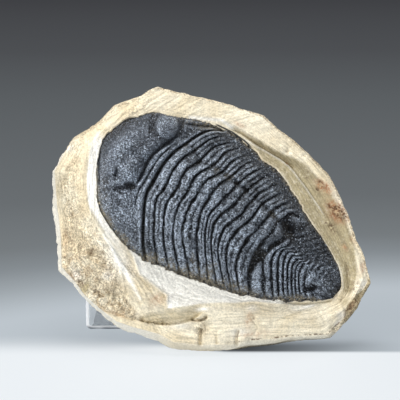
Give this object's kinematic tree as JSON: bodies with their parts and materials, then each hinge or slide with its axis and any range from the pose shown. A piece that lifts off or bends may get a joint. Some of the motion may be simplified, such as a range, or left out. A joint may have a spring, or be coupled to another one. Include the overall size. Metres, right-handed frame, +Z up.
{
  "type": "trilobite fossil in a limestone block on a clear stand",
  "caption": "Dark ribbed trilobite in the carved hollow of an upright pale limestone block, which leans back on a bent clear acrylic stand.",
  "frame": {"origin": "on the surface that the block and the stand rest on, under the middle of the whole", "axes": "+Z up, +X to the right along the block's width when its carved face is seen, -Y towards the viewer of that face"},
  "size_m": [0.1156, 0.0812, 0.0938],
  "materials": {
    "limestone": "matt, freshly carved, with rough broken outer faces",
    "fossil": "dark blue-grey calcite, finely grained with a dull sheen",
    "acrylic": "clear, polished"
  },
  "bodies": {
    "root": {"matrix": "limestone", "trilobite": "fossil", "stand": "acrylic"}
  },
  "joints": []
}
